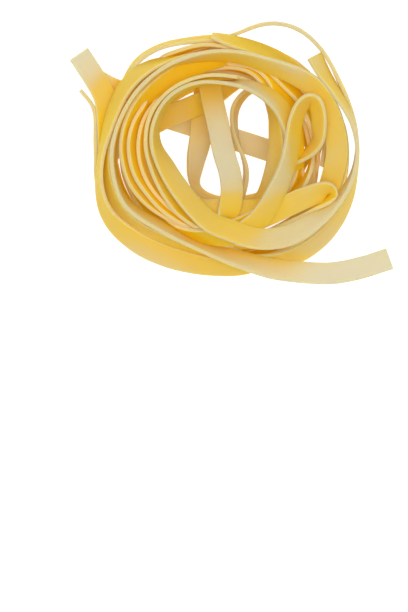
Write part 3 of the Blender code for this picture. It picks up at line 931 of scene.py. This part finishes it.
def floor_material(stage):
    material, nodes = new_material("studio_floor")
    place = nodes.add("ShaderNodeTexCoord").outputs["Object"]
    ramp = nodes.add("ShaderNodeValToRGB", {"Fac": nodes.noise(place, 6.0, 2.0)})
    pale = stage.floor_colour
    paint_ramp(ramp.color_ramp, (0.3, 0.7), ([0.985 * part for part in pale], pale))
    shader = nodes.add("ShaderNodeBsdfPrincipled", {
        "Base Color": ramp.outputs["Color"],
        "Roughness": 0.8,
        "Emission Color": (1.0, 1.0, 1.0, 1.0),
        "Emission Strength": stage.floor_glow,
    }).outputs[0]
    nodes.add("ShaderNodeOutputMaterial", {"Surface": shader})
    return material


# ---- Settings ----


def length(label, description, default):
    return FloatProperty(
        name=label, description=description, default=default, unit="LENGTH", min=0.0, precision=5
    )


def fraction(label, description, default):
    return FloatProperty(name=label, description=description, default=default, min=0.0, max=1.0)


def strength(label, description, default, unit="NONE"):
    return FloatProperty(name=label, description=description, default=default, min=0.0, unit=unit)


def number(label, description, default):
    return IntProperty(name=label, description=description, default=default, min=0)


def shade(label, description, default):
    return FloatVectorProperty(
        name=label, description=description, default=default, size=3, subtype="COLOR", min=0.0, max=1.0
    )


class RibbonSettings(PropertyGroup):
    """Sizes of the ribbons and how they are swept."""

    width: length("Width", "Width of a ribbon", 6.2 * MM)
    thickness: length("Thickness", "Thickness of a ribbon", 1.1 * MM)
    edge_radius: length("Edge Radius", "Rounding of the cut edges", 0.2 * MM)
    step: length("Station Length", "Distance between the rings of the swept mesh", 0.6 * MM)
    unevenness: length("Unevenness", "How much the surface swells and sinks", 0.22 * MM)
    wave_size: length("Wave Size", "Size of the swells along a ribbon", 7.0 * MM)
    seed: number("Seed", "Start of the random draws", 4)


class FinishAndShadeSettings(PropertyGroup):
    """Colours and surface of the dough, with its painted shade and painted glow."""

    open: shade("Open Dough", "Colour where a face lies open", (0.75, 0.71, 0.51))
    # Golden, inner and deep dough are painted shade: deeper golds where ribbons close a face in, for shade
    # and for light carried between the layers.
    middle: shade("Golden Dough", "Colour between the hoops", (0.84, 0.60, 0.13))
    inner: shade("Inner Dough", "Colour in the gaps", (0.84, 0.56, 0.03))
    deep: shade("Deep Dough", "Colour where ribbons touch", (0.80, 0.48, 0.0))
    cut: shade("Cut Edge", "Colour of the cut edges and ends", (0.76, 0.66, 0.39))
    roughness: fraction("Roughness", "Roughness of the dough", 0.55)
    glow: fraction("Translucency", "Share of light that enters the dough", 0.6)
    # Painted glow: a golden emission where ribbons close in, standing for light that comes through the dough.
    painted_glow_colour: shade("Passed Light", "Colour of the light that comes through the dough", (1.0, 0.6, 0.0))
    painted_glow: strength("Light Through", "Light that comes through where ribbons close in", 0.15)
    reach: length("Shadow Reach", "How far a facing ribbon still deepens the colour", 16 * MM)
    rays: number("Rays", "Directions tested at each point", 32)
    softness: number("Softness", "Times the tone is evened out", 8)


class StageSettings(PropertyGroup):
    """Camera, lights and floor."""

    camera_height: length("Camera Height", "Height of the camera above the floor", 1.4)
    view_height: length("View Height", "Length that the picture's long side spans at the hoops", 0.17136)
    view_level: length("View Level", "Height of the hoops that the view is measured at", 0.025)
    aim: FloatVectorProperty(
        name="Aim",
        description="Where the camera aims",
        default=(-7.71 * MM, -42.76 * MM),
        size=2,
        unit="LENGTH",
    )
    floor_colour: shade("Floor", "Colour of the floor", (0.35, 0.35, 0.35))
    floor_glow: strength("Floor Glow", "Light from below", 0.9)
    key: strength("Key Light", "Power of the key light", 1.5, "POWER")
    fill: strength("Fill Light", "Power of the fill light", 8.2, "POWER")
    sky: strength("Sky", "Strength of the even light from all round", 0.47)


# ---- Operators ----


def path_object(winding, group):
    """A mesh of edges along the centres of a group's ribbons, with the direction across at each point."""
    points, edges, across = [], [], []
    for owner, span in zip(winding.groups, winding.spans, strict=True):
        if owner != group:
            continue
        first = len(points)
        shifted = winding.centre[span] + np.array([*RING_CENTRE, 0.0])
        points += (shifted * MM).tolist()
        across += winding.across[span].tolist()
        edges += [(at, at + 1) for at in range(first, len(points) - 1)]
    mesh = bpy.data.meshes.new(group)
    mesh.from_pydata(points, edges, [])
    layer = mesh.attributes.new("across", "FLOAT_VECTOR", "POINT")
    layer.data.foreach_set("vector", np.array(across, np.float32).ravel())
    piece = bpy.data.objects.new(group, mesh)
    bpy.context.scene.collection.objects.link(piece)
    return piece


def make_ribbons(scene, group):
    """Sweeps one group of ribbons."""
    ribbons, finish = scene.nest_ribbons, scene.nest_finish
    winding = wound(round(ribbons.width / MM, 3), round(ribbons.thickness / MM, 3), ribbons.seed)
    run_tree(path_object(winding, group), bpy.data.node_groups.get("ribbon_sweep") or ribbon_tree(), {
        "Width": ribbons.width,
        "Thickness": ribbons.thickness,
        "Edge Radius": ribbons.edge_radius,
        "Station Length": ribbons.step,
        "Unevenness": ribbons.unevenness,
        "Wave Size": ribbons.wave_size,
        "Seed": ribbons.seed,
        "Material": pasta_material(finish),
    })


class NEST_OT_front_hoops(Operator):
    """Make the hoops and hairpins that lie on top, round the hollow"""

    bl_idname = "nest.front_hoops"
    bl_label = "Front Hoops"
    piece = "front_hoops"

    def execute(self, context):
        make_ribbons(context.scene, self.piece)
        return {"FINISHED"}


class NEST_OT_outer_hoops(Operator):
    """Make the outer hoops, with the long tail and the thin loop"""

    bl_idname = "nest.outer_hoops"
    bl_label = "Outer Hoops"
    piece = "outer_hoops"

    def execute(self, context):
        make_ribbons(context.scene, self.piece)
        return {"FINISHED"}


class NEST_OT_fan_turns(Operator):
    """Make the turns that fan out behind the hoops"""

    bl_idname = "nest.fan_turns"
    bl_label = "Fanned Turns"
    piece = "fan_turns"

    def execute(self, context):
        make_ribbons(context.scene, self.piece)
        return {"FINISHED"}


class NEST_OT_loose_ends(Operator):
    """Make the ends that stick out on the left"""

    bl_idname = "nest.loose_ends"
    bl_label = "Loose Ends"
    piece = "loose_ends"

    def execute(self, context):
        make_ribbons(context.scene, self.piece)
        return {"FINISHED"}


class NEST_OT_hollow_strips(Operator):
    """Make the strips that cross the hollow"""

    bl_idname = "nest.hollow_strips"
    bl_label = "Strips in the Hollow"
    piece = "hollow_strips"

    def execute(self, context):
        make_ribbons(context.scene, self.piece)
        return {"FINISHED"}


class NEST_OT_wall_turns(Operator):
    """Wind the turns of the outer wall"""

    bl_idname = "nest.wall_turns"
    bl_label = "Wall Turns"
    piece = "wall_turns"

    def execute(self, context):
        make_ribbons(context.scene, self.piece)
        return {"FINISHED"}


class NEST_OT_inner_turns(Operator):
    """Wind the turns inside the ring and round the hollow's wall"""

    bl_idname = "nest.inner_turns"
    bl_label = "Inner Turns"
    piece = "inner_turns"

    def execute(self, context):
        make_ribbons(context.scene, self.piece)
        return {"FINISHED"}


class NEST_OT_tone(Operator):
    """Measure how enclosed every point is, for the painted shade that deepens the dough in the gaps, and fix
    the pieces
    """

    bl_idname = "nest.tone"
    bl_label = "Tone and Place"

    def execute(self, context):
        ribbons, finish = context.scene.nest_ribbons, context.scene.nest_finish
        pieces = [bpy.data.objects[step.piece] for step in RIBBON_STEPS]
        whole = joined_copy(pieces)
        tree = openness_tree()
        for piece in pieces:
            run_tree(piece, tree, {
                "Nest": whole,
                "Reach": finish.reach,
                "Rays": finish.rays,
                "Lift": RAY_LIFT,
                "Thickness": ribbons.thickness + ribbons.unevenness,
                "Softness": finish.softness,
                "Material": pasta_material(finish),
            })
            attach(piece, BODY)
            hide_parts(NODE)
        remove_object(whole)
        return {"FINISHED"}


def joined_copy(pieces):
    """One mesh of all the pieces, only to be measured against."""
    points, faces = [], []
    for piece in pieces:
        first = len(points)
        points += [vertex.co.copy() for vertex in piece.data.vertices]
        faces += [[first + index for index in face.vertices] for face in piece.data.polygons]
    mesh = bpy.data.meshes.new("whole")
    mesh.from_pydata(points, [], faces)
    whole = bpy.data.objects.new("whole", mesh)
    bpy.context.scene.collection.objects.link(whole)
    return whole


def remove_object(thing):
    mesh = thing.data
    bpy.data.objects.remove(thing)
    bpy.data.meshes.remove(mesh)


class NEST_OT_stage(Operator):
    """Set up the floor, the lights and the camera"""

    bl_idname = "nest.stage"
    bl_label = "Stage"

    def execute(self, context):
        scene = context.scene
        stage = scene.nest_stage
        make_floor(stage)
        make_light("key_light", *KEY_BOX, stage.key)
        make_light("fill_light", *FILL_BOX, stage.fill)
        make_world(scene, stage)
        make_camera(scene, stage)
        scene.view_settings.view_transform = "Standard"
        return {"FINISHED"}


def make_floor(stage):
    mesh = bpy.data.meshes.new("floor")
    corners = ((-1, -1), (1, -1), (1, 1), (-1, 1))
    mesh.from_pydata([(x * FLOOR_HALF, y * FLOOR_HALF, 0) for x, y in corners], [], [(0, 1, 2, 3)])
    mesh.materials.append(floor_material(stage))
    floor = bpy.data.objects.new("floor", mesh)
    floor.location.z = CAD_LOW.z
    bpy.context.scene.collection.objects.link(floor)


def make_light(name, place, size, power):
    """A square soft box that faces the nest."""
    light = bpy.data.lights.new(name, "AREA")
    light.size = size
    light.energy = power
    lamp = bpy.data.objects.new(name, light)
    lamp.location = place
    aim = (CAD_LOW + CAD_HIGH) / 2 - lamp.location
    lamp.rotation_euler = aim.to_track_quat("-Z", "Y").to_euler()
    bpy.context.scene.collection.objects.link(lamp)


def make_world(scene, stage):
    world = bpy.data.worlds.new("even_light")
    world.use_nodes = True
    background = world.node_tree.nodes["Background"]
    background.inputs["Color"].default_value = (1.0, 1.0, 1.0, 1.0)
    background.inputs["Strength"].default_value = stage.sky
    scene.world = world


def make_camera(scene, stage):
    """Looks straight down, so that the long side of the picture spans view_height at the hoops."""
    camera = bpy.data.cameras.new("camera")
    camera.sensor_fit = "VERTICAL"
    camera.sensor_height = 36.0
    camera.lens = camera.sensor_height * (stage.camera_height - stage.view_level) / stage.view_height
    camera.clip_start = 0.01
    eye = bpy.data.objects.new("camera", camera)
    eye.location = (*stage.aim, CAD_LOW.z + stage.camera_height)
    scene.collection.objects.link(eye)
    scene.camera = eye


class NEST_PT_panel(Panel):
    """Settings and steps of the nest"""

    bl_label = "Pasta Nest"
    bl_idname = "NEST_PT_panel"
    bl_space_type = "VIEW_3D"
    bl_region_type = "UI"
    bl_category = "Pasta Nest"

    def draw(self, context):
        for settings in (context.scene.nest_ribbons, context.scene.nest_finish, context.scene.nest_stage):
            box = self.layout.box()
            for key in settings.__annotations__:
                box.prop(settings, key)
        for step in STEPS:
            self.layout.operator(step.bl_idname)


RIBBON_STEPS = (
    NEST_OT_front_hoops,
    NEST_OT_outer_hoops,
    NEST_OT_fan_turns,
    NEST_OT_loose_ends,
    NEST_OT_hollow_strips,
    NEST_OT_wall_turns,
    NEST_OT_inner_turns,
)
STEPS = (*RIBBON_STEPS, NEST_OT_tone, NEST_OT_stage)
CLASSES = (RibbonSettings, FinishAndShadeSettings, StageSettings, *STEPS, NEST_PT_panel)


def register():
    for item in CLASSES:
        bpy.utils.register_class(item)
    bpy.types.Scene.nest_ribbons = PointerProperty(type=RibbonSettings)
    bpy.types.Scene.nest_finish = PointerProperty(type=FinishAndShadeSettings)
    bpy.types.Scene.nest_stage = PointerProperty(type=StageSettings)


def unregister():
    del bpy.types.Scene.nest_stage
    del bpy.types.Scene.nest_finish
    del bpy.types.Scene.nest_ribbons
    for item in reversed(CLASSES):
        bpy.utils.unregister_class(item)


def main():
    register()
    for step in STEPS:
        getattr(bpy.ops.nest, step.bl_idname.split(".")[1])()


if __name__ == "__main__":
    main()
